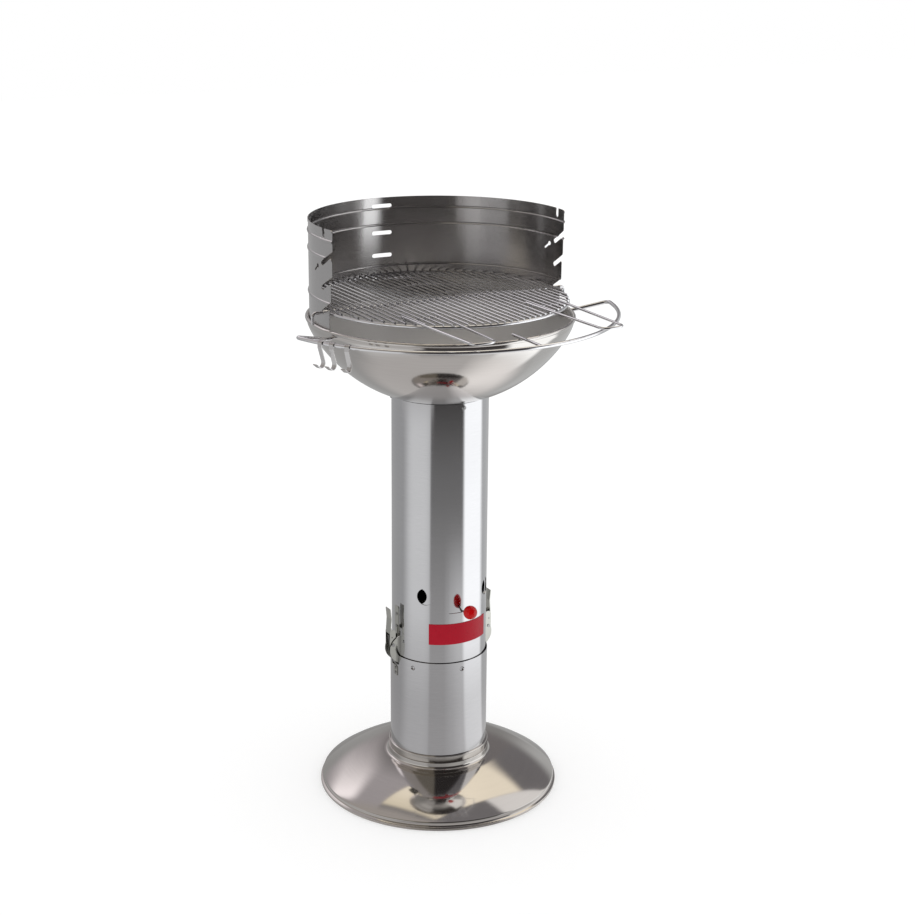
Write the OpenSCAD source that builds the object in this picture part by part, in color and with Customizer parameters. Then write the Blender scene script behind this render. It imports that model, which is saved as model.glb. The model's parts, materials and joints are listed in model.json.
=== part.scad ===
// Free-standing charcoal grill on a column.
// Millimetres, +Z up, front towards -Y, origin on the floor under the column.
// An azimuth is counted from the front, positive towards +X.

/* [Base] */
// Outer radius of the rolled foot
base_r = 230; // [200:1:260]
// Height of the rolled foot
foot_h = 5; // [4:0.5:8]
// Radial width of the rolled foot
foot_w = 8; // [6:0.5:12]
// Rounding of the rolled foot
foot_round = 2.3; // [1:0.1:2.4]
// Height at which the dome starts
dome_low_z = 15; // [10:1:25]
// Height of the dome at its shoulder
dome_high_z = 60; // [45:1:80]
// How far the dome bulges out of a straight cone
dome_sag = 10; // [2:0.5:16]
// Rise from the shoulder to the flat on which the reservoir stands
shoulder_h = 12; // [6:1:20]
// Sheet thickness of the base
base_wall = 1.2; // [0.8:0.1:2]
// Height of the bright ring round the column's foot
collar_h = 14; // [8:1:24]
// Radial thickness of that ring
collar_t = 3.4; // [2:0.2:6]

/* [Column] */
// Outer radius of the reservoir
reservoir_r = 93; // [85:0.5:100]
// Height of the reservoir's top edge above the floor
seam_z = 276; // [240:1:320]
// Gap between the reservoir and the upper tube inside it
tube_gap = 1.7; // [0.5:0.1:3]
// Sheet thickness of both tubes
tube_wall = 1; // [0.8:0.1:1.6]
// Distance of the pressed dimples below the seam
dimple_drop = 14; // [10:1:24]
// Radius of a pressed dimple
dimple_r = 5; // [4:0.5:7]
// Depth of a pressed dimple
dimple_depth = 3; // [2.4:0.1:3.4]
// Number of dimples round the reservoir
dimples = 6; // [3:1:8]
// Height of the rim of the reservoir's floor
floor_rim_h = 10; // [6:1:16]
// Radius of the circle of bolts in the base
bolt_circle_r = 60; // [40:1:75]
// Radius of a base bolt
bolt_r = 3; // [2.5:0.5:4]

/* [Bowl] */
// Outer radius of the bowl below its rim
bowl_r = 243; // [220:1:270]
// Height of the lowest point of the bowl's curve
bowl_z = 768.6; // [740:1:800]
// Depth of the bowl's curve
bowl_depth = 149.4; // [130:1:170]
// Sheet thickness of the bowl
bowl_wall = 1; // [0.8:0.1:1.6]
// Radius of the wired rim's section
roll_r = 3.5; // [2.5:0.1:5]
// Rise of the rim's centre above the bowl's curve
roll_rise = 9.3; // [6:0.1:14]
// Radius of the ash opening
ash_r = 74; // [50:1:80]
// Depth of the lip round the ash opening
ash_lip = 6; // [3:1:10]
// Length of the ring under the bowl
spigot_h = 26; // [20:1:40]
// Drop of the bowl screws below the top of the tube
screw_drop = 8; // [6:0.5:12]
// Radius of a bowl screw
screw_r = 2.5; // [2:0.25:3]
// Number of bowl screws
bowl_screw_count = 3; // [3:1:6]

/* [Damper] */
// Height of the air holes
air_z = 408.5; // [395:0.5:430]
// Radius of an air hole
air_r = 16.5; // [12:0.5:18]
// Height of the damper's slot
slot_z = 378; // [372:0.5:384]
// Height of the slot's opening
slot_h = 5; // [4.8:0.1:7]
// Half of the slot's angle
slot_half = 15; // [12:0.5:18]
// Turn that the sleeve's holes are behind the tube's at rest
air_lag = 9; // [0:0.5:12]
// Radius of the damper's rod
rod_r = 2; // [1.5:0.1:2.2]
// Distance of the knob's centre from the axis
knob_reach = 122; // [112:1:135]
// Rise of the knob's centre above the slot
knob_rise = 8.6; // [0:0.2:10]
// Radius of the ball knob
knob_r = 13; // [10:0.5:15]

/* [Badge] */
// Half of the badge plate's angle
badge_half = 40.5; // [20:0.5:45]
// Height of the badge plate's lower edge above the seam
badge_lift = 38; // [10:1:45]
// Height of the badge plate
badge_h = 41; // [20:1:45]
// Thickness of the badge plate
badge_t = 0.8; // [0.5:0.1:1.2]

/* [Latches] */
// Distance of the lever's hinge from the column's axis
pivot_x = 104; // [103:0.5:106]
// Height of the lever's hinge above the seam
pivot_rise = 24; // [22:0.5:28]
// Distance between the lever's hinge and the bail's
crank = 15; // [13:0.5:16]
// Lean of the crank when the latch is closed
crank_lean = 6; // [4:0.5:8]
// Drop of the bail's bar below the seam
bar_drop = 20; // [18:0.5:24]
// Radius of the bail's wire
bail_r = 1.3; // [1:0.1:1.5]
// Radius of the hinge rivets
pin_r = 2; // [1.5:0.1:2.5]
// Height of the lever
lever_h = 78; // [60:1:90]
// Width across the lever
lever_w = 18.4; // [16:0.2:22]
// Sheet thickness of the latch's pieces
latch_t = 1.2; // [1:0.1:1.5]

/* [Windscreen] */
// Distance of the windscreen's outside from the bowl's outside
screen_inset = 4; // [3.5:0.5:18]
// Rise of the windscreen's top edge above the bowl's curve
screen_rise = 189; // [150:1:240]
// Sheet thickness of the windscreen
screen_wall = 0.8; // [0.6:0.1:1]
// Width of a bead
bead_w = 6; // [4:0.5:8]
// Height by which a bead stands proud
bead_proud = 2; // [1:0.1:2.6]
// Rise of the lowest slot's inner end above the bowl's curve
slot_rise = 40; // [32:0.5:48]
// Distance between two slot levels as a share of the windscreen's rise
slot_pitch_share = 0.23; // [0.2:0.01:0.24]
// Width of a slot
grid_slot_w = 8.5; // [7.5:0.1:10]
// Slope of a slot
slot_slope = 30; // [20:1:35]
// Distance of the slots' inner ends in front of the axis
slot_y = 6.5; // [4:0.5:10]

/* [Cooking grid] */
// Gap between the grid and the windscreen's outside
grid_inset = 4; // [3.5:0.5:10]
// Radius of the ring's and the cross rod's bar
ring_bar_r = 3; // [2.5:0.1:3.2]
// Radius of the grid's rods
grid_rod_r = 1.75; // [1.25:0.05:2.5]
// Distance between two rods
grid_pitch = 13.3; // [11:0.1:18]
// Distance that the cross rod sticks out past the windscreen
cross_overhang = 20; // [14:1:26]
// Length of the cross rod's ends that point down
cross_drop = 20; // [10:1:24]
// Radius of the handles' wire
handle_wire_r = 2.25; // [1.75:0.05:3]
// Reach of the handles' ends in front of the grid's edge
handle_reach = 135; // [105:1:165]
// Distance of the handles' inner ends behind the grid's edge
handle_inner = 101; // [85:1:125]
// Width of a handle at its outer end
handle_w = 44; // [36:1:60]
// Width of a handle at its inner end
handle_root_w = 62; // [44:1:70]

/* [Charcoal grate] */
// Radius of the grate's ring
grate_r = 130; // [110:1:205]
// Radius of the ring's bar
grate_bar_r = 3; // [2.5:0.1:4]
// Radius of the grate's rods
grate_rod_r = 2.5; // [2:0.1:4]
// Number of rods on each side of the middle one
grate_half_count = 5; // [4:1:10]

/* [Rail] */
// Distance of the rail's arc outside the bowl
rail_reach = 85; // [67:1:102]
// Distance of the arc's centre behind the column's axis
rail_shift = 6.6; // [0:0.2:12]
// Radius of the rail's wire
rail_wire_r = 3.5; // [2.5:0.1:4]
// Height of the rail's wire above the bowl's curve
rail_rise = 16.5; // [12:0.5:24]
// Half of the arc's angle
rail_half = 73; // [60:0.5:76]
// Distance of the strut from the middle
strut_x = 25; // [-60:1:60]
// Radius of the strut's wire
strut_r = 2.5; // [2:0.1:3]
// Length of a hook below the rail
hook_drop = 56; // [40:1:70]
// Width of a hook's strip
hook_w = 9; // [6:0.5:12]
// Thickness of a hook's strip
hook_t = 1.5; // [1:0.1:2]

/* [Hidden] */
$fn = 64;

// Clearances and the overrun of cuts
weld_gap = 0.05;
seat_gap = 0.3;
hole_gap = 0.2;
pin_gap = 0.05;
over = 5;

// Steps of the profiles that follow a formula
dome_steps = 14;
bowl_steps = 22;
round_steps = 6;
rail_steps = 44;
wire_sides = 16;

// Base and column
foot_mid_r = base_r - foot_w / 2;
collar_r = reservoir_r + collar_t;
collar_low_share = 0.4;
collar_top_share = 0.6;
shoulder_r = collar_r + base_wall;
stand_z = dome_high_z + shoulder_h;
floor_t = 1.2;
bolt_head_h = 4;
bolt_head_share = 1.7;
bolt_length = 14;
base_bolt_count = 3;
tube_r = reservoir_r - tube_wall - tube_gap;
tube_in = tube_r - tube_wall;
dimple_z = seam_z - dimple_drop;
dimple_centre = reservoir_r + dimple_r - dimple_depth;
dimple_out = dimple_r + tube_wall;
tube_low = dimple_z + sqrt(pow(dimple_out, 2) - pow(dimple_centre - tube_r, 2)) + weld_gap;

// Bowl: its outer curve is a formula of the radius
curve_power = 1.6;
curve_root = 1 / 0.9;
function curve_z(r) =
    bowl_z + bowl_depth * pow(1 - pow(max(0, 1 - pow(r / bowl_r, 2)), curve_power / 2), curve_root);
function curve_r(z) =
    bowl_r * sqrt(1 - pow(1 - pow((z - bowl_z) / bowl_depth, 1 / curve_root), 2 / curve_power));
bowl_top = bowl_z + bowl_depth;
roll_z = bowl_top + roll_rise;
roll_out_share = 0.4;
ash_turn = asin(ash_r / bowl_r);
tube_top = curve_z(tube_in) - seat_gap;
spigot_r = tube_in - seat_gap;
spigot_wall = 1;
spigot_top = curve_z(spigot_r - spigot_wall) - weld_gap;
screw_z = tube_top - screw_drop;
screw_head_share = 1.8;
screw_head_h = 2.4;
screw_tail = 6;
screw_round_share = 0.8;

// Damper
sleeve_r = tube_in - seat_gap;
sleeve_wall = 1;
sleeve_below = 8;
sleeve_above = 6;
air_hole_count = 4;
air_hole_turn = 45;
slot_mid = [0, -(tube_r - tube_wall / 2), slot_z];
knob_centre = [0, -knob_reach, slot_z + knob_rise];
rod_dir = unit(knob_centre - slot_mid);
rod_head_r = 4;
rod_head_h = 1.5;
rod_inner = 3.6;
neck_share = 0.46;
neck_reach_share = 1.16;
bore_reach_share = 0.3;

// Latches, worked out for the right side
pivot = [pivot_x, seam_z + pivot_rise];
bail_top = pivot + crank * [sin(crank_lean), cos(crank_lean)];
plate_lift = 1.9;
bar = [reservoir_r + plate_lift + bail_r, seam_z - bar_drop];
lever_wall_y = lever_w / 2;
lever_wall_in = lever_wall_y - latch_t;
lever_bar_r = 6;
lever_wall_h = 36;
paddle_start = 22;
paddle_flare = 20;
paddle_t = 1.5;
paddle_out = 5;
paddle_in = 3;
cheek_gap = 0.5;
cheek_y = lever_wall_y + cheek_gap;
cheek_t = 1.5;
cheek_r = 28.5;
cheek_reach = 110.5;
cheek_drop = 11;
cheek_lift = 0.5;
seam_gap = 0.2;
base_w = 2 * (cheek_y + cheek_t);
base_top_rise = 98;
base_neck_w = 15;
base_neck_rise = 44;
base_low_rise = 2;
base_round = 3;
plate_t = 1.2;
bail_y = 5.5;
corner_swell = 0.03;
bail_tip = 0.2;
head_t = 0.95;
inner_head_t = 0.5;
head_r = 3.2;
inner_head_r = 3;
catch_w = 7.6;
catch_foot_w = 14;
catch_foot_h = 18;
catch_bottom_drop = 42;
catch_low_z = seam_z - catch_bottom_drop;
catch_slope = 10;
catch_lip = 5.6;
catch_bend = 1.4;
rivet_r = 2;
base_rivet_rises = [58, 82];
catch_rivet_rises = [5, 14];

// Windscreen: the outline is drawn in the plane of Y and Z
screen_r = bowl_r - screen_inset;
screen_top = bowl_top + screen_rise;
slot_level = bowl_top + slot_rise;
slot_pitch = screen_rise * slot_pitch_share;
screen_in = screen_r - screen_wall;
screen_low = curve_z(screen_r + bowl_wall + seat_gap);
hem_h = 5;
hem_t = 0.8;
bead_shares = [0.11, 0.275, 0.693];
bead_r = (pow(bead_w / 2, 2) + pow(bead_proud, 2)) / (2 * bead_proud);
slot_count = 3;
tooth_fronts = [41.5, 40, 35.5, 31];
foot_front = 29;
foot_front_drop = 16;
tooth_round = 5;
tooth_low_share = 0.7;
tooth_foot_share = 0.4;
slot_end_share = 0.49;
notch_y = 12.5;
notch_w = 8;
notch_depth = 16;
key_y = 12.5;
key_r = 4;
key_drop_share = 0.368;
key_slot_w = 4;
key_slot_l = 18;
key_slope = 36;
rear_slot_w = 42;
rear_slot_h = 7.6;
top_rear_drop = 16;

// Cooking grid
cross_z = slot_level - (grid_slot_w / 2 - ring_bar_r - seat_gap);
grid_r = screen_r - grid_inset;
ring_mid_r = grid_r - ring_bar_r;
rods_z = cross_z + ring_bar_r + grid_rod_r + weld_gap;
rod_overhang = 1;
grid_half_count = floor(ring_mid_r / grid_pitch);
cross_bend = 8;
handles_z = rods_z + grid_rod_r + handle_wire_r + weld_gap;
handle_insets = [117, 103];
handle_xs = [-grid_r + handle_insets[0], grid_r - handle_insets[1]];
handle_end_y = -grid_r - handle_reach;
handle_inner_y = -grid_r + handle_inner;
handle_bend = 14;
handle_bar_r = 2;
handle_bar_z = rods_z - grid_rod_r - handle_bar_r - weld_gap;
handle_bar_inset = 3;
handle_bar_half_share = 0.62;
tongue_r = 2.5;
tongue_z = cross_z - ring_bar_r - tongue_r - weld_gap;
tongue_w = 26;
tongue_bend = 8;
tongue_root = 17;
tongue_tip = 2;
rear_slot_level = tongue_z - tongue_r - seat_gap + rear_slot_h / 2;

// Charcoal grate: it rests on the bowl's inner slope
probe = 1;
grate_slope = atan2(curve_z(grate_r + probe) - curve_z(grate_r - probe), 2 * probe);
grate_z = curve_z(grate_r) + (bowl_wall + grate_bar_r + seat_gap) / cos(grate_slope);
grate_edge_share = 0.5;
grate_pitch = grate_r / (grate_half_count + grate_edge_share);
grate_rods_z = grate_z + grate_bar_r + grate_rod_r + weld_gap;

// Rail
rail_arc_r = bowl_r + rail_reach;
rail_z = bowl_top + rail_rise;
rail_bend = 12;
corner_run = 20;
leg_y = 40;
leg_drop = 1;
leg_z = bowl_top - leg_drop;
leg_out = 11;
leg_in = 12;
nut_r = 6.5;
nut_t = 4.5;
nut_sides = 6;
strut_in = 27;
strut_z = roll_z + roll_r + strut_r + weld_gap;
hook_azimuths = [-65.6, -61.4, -56];
hook_gap = 0.3;
hook_return = 5;
hook_straight = 7;
hook_lean = 17;
hook_tip_out = 30;
hook_tip_up = 22;
hook_round = 8;
hook_top_share = 0.98;

// Plain geometry helpers
function unit(v) = v / norm(v);
function heading(p, i) = unit(p[i + 1] - p[i]);
function turn_at(p, i) = acos(heading(p, i - 1) * heading(p, i));
function cut_back(p, i, bend) = (i == 0 || i == len(p) - 1) ? 0 : bend * tan(turn_at(p, i) / 2);
function left_of(v) = [-v[1], v[0]];
function wrap(a) = a > 180 ? a - 360 : a < -180 ? a + 360 : a;

// The arc that rounds the corner b between a and c
function corner_arc(a, b, c, r) =
    let (u = unit(a - b), w = unit(c - b), half = acos(u * w) / 2, run = r / tan(half))
    let (mid = b + unit(u + w) * r / sin(half), s = b + u * run - mid, e = b + w * run - mid)
    let (from = atan2(s[1], s[0]), turn = wrap(atan2(e[1], e[0]) - from))
    [for (i = [0:round_steps])
        mid + r * [cos(from + turn * i / round_steps), sin(from + turn * i / round_steps)]];

// A closed outline with rounded corners, a radius for each corner
function rounded(p, radii) = [for (i = [0:len(p) - 1])
    each radii[i] == 0 ? [p[i]]
        : corner_arc(p[(i + len(p) - 1) % len(p)], p[i], p[(i + 1) % len(p)], radii[i])];

// An open line with rounded corners
function rounded_line(p, radii) = [for (i = [0:len(p) - 1])
    each radii[i] == 0 ? [p[i]] : corner_arc(p[i - 1], p[i], p[i + 1], radii[i])];

// The closed outline of a sheet between a line and the same line moved by d to its left
function side(p, i) = left_of(heading(p, i));
function mitre(p, i) =
    let (a = side(p, max(i - 1, 0)), b = side(p, min(i, len(p) - 2)))
    (a + b) / (1 + a * b);
function sheet(p, d) = concat(p, [for (i = [len(p) - 1:-1:0]) p[i] + d * mitre(p, i)]);
function strip(p, t) = sheet([for (i = [0:len(p) - 1]) p[i] - t / 2 * mitre(p, i)], t);

// Round bar between two points
module bar_between(a, b, r) {
    d = b - a;
    translate(a)
        rotate([0, acos(d[2] / norm(d)), atan2(d[1], d[0])])
            cylinder(r = r, h = norm(d));
}

// Quarter or other part of a ring that joins two bars at a corner
module bend_at(p, i, r, bend) {
    along = heading(p, i - 1);
    next = heading(p, i);
    inward = unit(next - (along * next) * along);
    mid = p[i] - along * cut_back(p, i, bend) + inward * bend;
    up = cross(-inward, along);
    multmatrix([
        [-inward[0], along[0], up[0], mid[0]],
        [-inward[1], along[1], up[1], mid[1]],
        [-inward[2], along[2], up[2], mid[2]],
        [0, 0, 0, 1]])
        rotate_extrude(angle = turn_at(p, i))
            translate([bend, 0])
                circle(r = r);
}

// Wire along points in space, with round bends
module wire(p, r, bend) {
    for (i = [0:len(p) - 2])
        bar_between(p[i] + cut_back(p, i, bend) * heading(p, i),
            p[i + 1] - cut_back(p, i + 1, bend) * heading(p, i), r);
    if (len(p) > 2)
        for (i = [1:len(p) - 2])
            bend_at(p, i, r, bend);
}

// Points of a line in space with its corners rounded
function bend_points(p, i, bend) =
    let (along = heading(p, i - 1), next = heading(p, i), turn = turn_at(p, i))
    let (inward = unit(next - (along * next) * along))
    let (mid = p[i] - along * cut_back(p, i, bend) + inward * bend)
    [for (k = [0:round_steps])
        mid + bend * (sin(turn * k / round_steps) * along - cos(turn * k / round_steps) * inward)];
function bent_line(p, bend) = concat([p[0]],
    [for (i = [1:len(p) - 2]) each bend_points(p, i, bend)], [p[len(p) - 1]]);

// Wire of many-sided section along a line in space that never runs straight up
module swept_wire(p, r, sides) {
    n = len(p);
    rings = [for (i = [0:n - 1])
        let (along = unit(unit(p[i] - p[max(i - 1, 0)] + (i == 0 ? p[1] - p[0] : [0, 0, 0]))
            + unit(p[min(i + 1, n - 1)] - p[i] + (i == n - 1 ? p[i] - p[i - 1] : [0, 0, 0]))))
        let (across = unit(cross(along, [0, 0, 1])), up = cross(across, along))
        for (k = [0:sides - 1])
            p[i] + r * (cos(360 * k / sides) * across + sin(360 * k / sides) * up)];
    walls = [for (i = [0:n - 2], k = [0:sides - 1])
        let (a = i * sides + k, b = i * sides + (k + 1) % sides)
        each [[a, a + sides, b], [b, a + sides, b + sides]]];
    polyhedron(rings, concat(walls, [[for (k = [0:sides - 1]) k],
        [for (k = [sides - 1:-1:0]) (n - 1) * sides + k]]));
}

// Turns children so that their +Z points away from the axis at an azimuth
module radial(azimuth, z) {
    rotate([0, 0, azimuth])
        translate([0, 0, z])
            rotate([90, 0, 0])
                children();
}

// Extrudes an outline of X and Z along Y, from y on
module across_y(y, t) {
    translate([0, y + t, 0])
        rotate([90, 0, 0])
            linear_extrude(t)
                children();
}

// Extrudes an outline of Y and Z along X, over the whole width
module across_x(half) {
    rotate([90, 0, 90])
        linear_extrude(2 * half, center = true)
            children();
}

module tube(r, wall, low, high) {
    difference() {
        translate([0, 0, low])
            cylinder(r = r, h = high - low);
        translate([0, 0, low - over])
            cylinder(r = r - wall, h = high - low + 2 * over);
    }
}

// Slot outline: round ends, total length and width
module slot_shape(length, width) {
    square([length - width, width], center = true);
    for (s = [-1, 1])
        translate([s * (length - width) / 2, 0])
            circle(d = width);
}

function dome_point(t) =
    let (a = [shoulder_r, dome_high_z], b = [foot_mid_r, dome_low_z])
    a + (b - a) * t + left_of(unit(b - a)) * 4 * dome_sag * t * (1 - t);

function base_line() = concat(
    [[0, stand_z], [collar_r, stand_z]],
    [for (i = [0:dome_steps]) dome_point(i / dome_steps)],
    [[foot_mid_r, foot_h]]);

// The sheet and its rolled foot as one outline
function base_outline() =
    let (line = base_line(), n = len(line), both = sheet(line, -base_wall), low = base_r - foot_w)
    rounded(concat([for (i = [0:n - 1]) both[i]],
        [[base_r, foot_h], [base_r, 0], [low, 0], [low, foot_h]],
        [for (i = [n:2 * n - 1]) both[i]]),
        [for (i = [0:2 * n + 3]) i < n || i > n + 3 ? 0 : foot_round]);

module bolt_places() {
    for (i = [0:base_bolt_count - 1])
        rotate([0, 0, i * 360 / base_bolt_count])
            translate([bolt_circle_r, 0, 0])
                children();
}

module base_plate() color("silver") {
    difference() {
        rotate_extrude()
            polygon(base_outline());
        bolt_places()
            translate([0, 0, stand_z - over])
                cylinder(r = bolt_r + hole_gap, h = 2 * over);
    }
}

module base_collar() color("whitesmoke") {
    low = stand_z + weld_gap;
    inner = reservoir_r + weld_gap;
    rotate_extrude()
        polygon(rounded([[inner, low], [collar_r, low],
            [collar_r, low + collar_h], [inner, low + collar_h]],
            [0, collar_t * collar_low_share, collar_t * collar_top_share, 0]));
}

module base_bolts() color("silver") {
    bolt_places()
        translate([0, 0, stand_z - base_wall - bolt_head_h - weld_gap]) {
            cylinder(r = bolt_r * bolt_head_share, h = bolt_head_h, $fn = 6);
            cylinder(r = bolt_r, h = bolt_head_h + bolt_length);
        }
}

module base_nuts() color("silver") {
    bolt_places()
        translate([0, 0, stand_z + 2 * weld_gap + floor_t])
            difference() {
                cylinder(r = bolt_r * bolt_head_share, h = bolt_head_h, $fn = 6);
                translate([0, 0, -over])
                    cylinder(r = bolt_r + weld_gap, h = bolt_head_h + 2 * over);
            }
}

module dimple_places() {
    for (i = [0:dimples - 1])
        radial(i * 360 / dimples, dimple_z)
            translate([0, 0, dimple_centre])
                children();
}

module reservoir_tube() color("silver") {
    difference() {
        union() {
            tube(reservoir_r, tube_wall, stand_z + weld_gap, seam_z);
            intersection() {
                translate([0, 0, dimple_z - dimple_out])
                    cylinder(r = reservoir_r - tube_wall / 2, h = 2 * dimple_out);
                dimple_places()
                    sphere(r = dimple_out);
            }
        }
        dimple_places()
            sphere(r = dimple_r);
        for (s = [-1, 1], rise = catch_rivet_rises)
            radial(s * 90, catch_low_z + rise)
                translate([0, 0, tube_r])
                    cylinder(r = rivet_r + pin_gap, h = over * 2);
    }
}

module reservoir_floor() color("silver") {
    low = stand_z + weld_gap;
    outer = reservoir_r - tube_wall - weld_gap;
    difference() {
        rotate_extrude()
            polygon([[0, low], [outer, low],
                [outer, low + floor_rim_h], [outer - floor_t, low + floor_rim_h],
                [outer - floor_t, low + floor_t], [0, low + floor_t]]);
        bolt_places()
            translate([0, 0, low - over])
                cylinder(r = bolt_r + hole_gap, h = 2 * over);
    }
}

module slot_cut() {
    for (s = [-1, 1])
        radial(s * slot_half, slot_z)
            cylinder(d = slot_h, h = tube_r + over);
    rotate([0, 0, -90 - slot_half])
        rotate_extrude(angle = 2 * slot_half)
            translate([tube_in - over, slot_z - slot_h / 2])
                square([tube_wall + 2 * over, slot_h]);
}

module upper_tube() color("silver") {
    difference() {
        tube(tube_r, tube_wall, tube_low, tube_top);
        for (i = [0:air_hole_count - 1])
            radial(air_hole_turn + i * 360 / air_hole_count, air_z)
                cylinder(r = air_r, h = tube_r + over);
        slot_cut();
        for (i = [0:bowl_screw_count - 1])
            radial(i * 360 / bowl_screw_count, screw_z)
                cylinder(r = screw_r + hole_gap, h = tube_r + over);
        for (s = [-1, 1], rise = base_rivet_rises)
            radial(s * 90, seam_z + rise)
                cylinder(r = rivet_r + pin_gap, h = tube_r + over);
    }
}

function bowl_line() = concat(
    [[ash_r, curve_z(ash_r) - ash_lip]],
    [for (i = [0:bowl_steps])
        let (r = bowl_r * sin(ash_turn + (90 - ash_turn) * i / bowl_steps)) [r, curve_z(r)]],
    [[bowl_r, roll_z]]);

module leg_holes(r) {
    for (s = [-1, 1])
        translate([s * bowl_r, -leg_y, leg_z])
            rotate([0, 90, 0])
                cylinder(r = r, h = 4 * over, center = true);
}

module bowl() color("gainsboro") {
    difference() {
        rotate_extrude() {
            polygon(sheet(bowl_line(), bowl_wall));
            translate([bowl_r + bowl_wall * roll_out_share, roll_z])
                circle(r = roll_r);
        }
        leg_holes(rail_wire_r + hole_gap);
    }
}

module bowl_spigot() color("darkgray") {
    difference() {
        tube(spigot_r, spigot_wall, spigot_top - spigot_h, spigot_top);
        for (i = [0:bowl_screw_count - 1])
            radial(i * 360 / bowl_screw_count, screw_z)
                cylinder(r = screw_r + pin_gap, h = tube_r);
    }
}

module bowl_screws() color("silver") {
    for (i = [0:bowl_screw_count - 1])
        radial(i * 360 / bowl_screw_count, screw_z) {
            translate([0, 0, spigot_r - screw_tail])
                cylinder(r = screw_r, h = tube_r - spigot_r + screw_tail + screw_head_h);
            translate([0, 0, tube_r + weld_gap])
                rotate_extrude()
                    polygon(rounded([[0, 0], [screw_r * screw_head_share, 0],
                        [screw_r * screw_head_share, screw_head_h], [0, screw_head_h]],
                        [0, 0, screw_head_h * screw_round_share, 0]));
        }
}

module damper_sleeve() color("darkgray") {
    low = slot_z - sleeve_below;
    high = air_z + air_r + sleeve_above;
    difference() {
        tube(sleeve_r, sleeve_wall, low, high);
        for (i = [0:air_hole_count - 1])
            radial(air_hole_turn + i * 360 / air_hole_count - air_lag, air_z)
                cylinder(r = air_r, h = tube_r);
        bar_between(slot_mid - 2 * over * rod_dir, slot_mid + over * rod_dir, rod_r + pin_gap);
    }
}

module damper_lever() color("gray") {
    inner = slot_mid - rod_inner * rod_dir;
    bar_between(inner, knob_centre - knob_r * bore_reach_share * rod_dir - pin_gap * rod_dir, rod_r);
    bar_between(inner - rod_head_h * rod_dir, inner, rod_head_r);
}

module damper_knob() color("crimson") {
    lean = atan2(rod_dir[2], -rod_dir[1]);
    translate(knob_centre)
        rotate([90 - lean, 0, 0])
            difference() {
                union() {
                    sphere(r = knob_r);
                    translate([0, 0, -knob_r * neck_reach_share])
                        cylinder(r = knob_r * neck_share, h = knob_r);
                }
                translate([0, 0, -2 * knob_r])
                    cylinder(r = rod_r + pin_gap, h = knob_r * (2 - bore_reach_share));
            }
}

module badge_plate() color("firebrick") {
    low = seam_z + badge_lift;
    rotate([0, 0, -90 - badge_half])
        rotate_extrude(angle = 2 * badge_half)
            translate([tube_r + weld_gap, low])
                square([badge_t, badge_h]);
}

module both_sides(side) {
    if (side < 0)
        mirror([1, 0, 0])
            children();
    else
        children();
}

module latch_base(side) color("lightgray") both_sides(side) {
    low = seam_z + base_low_rise;
    neck = seam_z + base_neck_rise;
    top = seam_z + base_top_rise;
    difference() {
        union() {
            intersection() {
                translate([0, 0, low])
                    cylinder(r = tube_r + plate_t, h = top - low);
                rotate([90, 0, 90])
                    linear_extrude(tube_r + 2 * over)
                        polygon(rounded([[-base_w / 2, low], [base_w / 2, low], [base_w / 2, neck],
                            [base_neck_w / 2, neck], [base_neck_w / 2, top], [-base_neck_w / 2, top],
                            [-base_neck_w / 2, neck], [-base_w / 2, neck]],
                            [0, 0, base_round, 0, base_round, base_round, 0, base_round]));
            }
            for (s = [-1, 1])
                across_y(s > 0 ? cheek_y : -cheek_y - cheek_t, cheek_t)
                    intersection() {
                        translate([cheek_reach - cheek_r, pivot[1] - cheek_drop])
                            circle(r = cheek_r);
                        translate([tube_in, pivot[1] - 2 * cheek_r])
                            square([2 * cheek_r, 3 * cheek_r]);
                    }
        }
        translate([0, 0, low - over])
            cylinder(r = tube_r + weld_gap, h = top - low + 2 * over);
        translate([0, 0, seam_z - 2 * cheek_r])
            cylinder(r = reservoir_r + cheek_lift, h = 2 * cheek_r + seam_gap);
        translate([pivot[0], -base_w, pivot[1]])
            rotate([-90, 0, 0])
                cylinder(r = pin_r + weld_gap, h = 2 * base_w);
        for (rise = base_rivet_rises)
            radial(90, seam_z + rise)
                cylinder(r = rivet_r + pin_gap, h = tube_r + 2 * over);
    }
}

module lever_side() {
    difference() {
        union() {
            translate(pivot)
                circle(r = lever_bar_r);
            translate(pivot + [0, lever_wall_h - 2 * lever_bar_r])
                circle(r = lever_bar_r);
            translate(pivot - [lever_bar_r, 0])
                square([2 * lever_bar_r, lever_wall_h - 2 * lever_bar_r]);
        }
        translate(pivot)
            circle(r = pin_r + pin_gap);
        translate(bail_top)
            circle(r = bail_r + pin_gap);
    }
}

module latch_lever(side) color("gainsboro") both_sides(side) {
    for (s = [-1, 1])
        across_y(s > 0 ? lever_wall_in : -lever_wall_y, latch_t)
            lever_side();
    tip = pivot + [paddle_out, lever_h - lever_bar_r];
    across_y(-lever_wall_y, lever_w)
        polygon(strip(rounded_line([pivot + [paddle_out, paddle_start],
            [pivot[0] + paddle_in, tip[1] - paddle_flare], tip], [0, paddle_flare, 0]), paddle_t));
}

module latch_bail(side) color("silver") both_sides(side) {
    tip = lever_wall_y + bail_tip;
    line = [[bail_top[0], tip, bail_top[1]], [bail_top[0], bail_y, bail_top[1]], [bar[0], bail_y, bar[1]],
        [bar[0], -bail_y, bar[1]], [bail_top[0], -bail_y, bail_top[1]], [bail_top[0], -tip, bail_top[1]]];
    for (i = [0:len(line) - 2])
        bar_between(line[i], line[i + 1], bail_r);
    for (i = [1:len(line) - 2])
        translate(line[i])
            sphere(r = bail_r + corner_swell);
}

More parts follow.
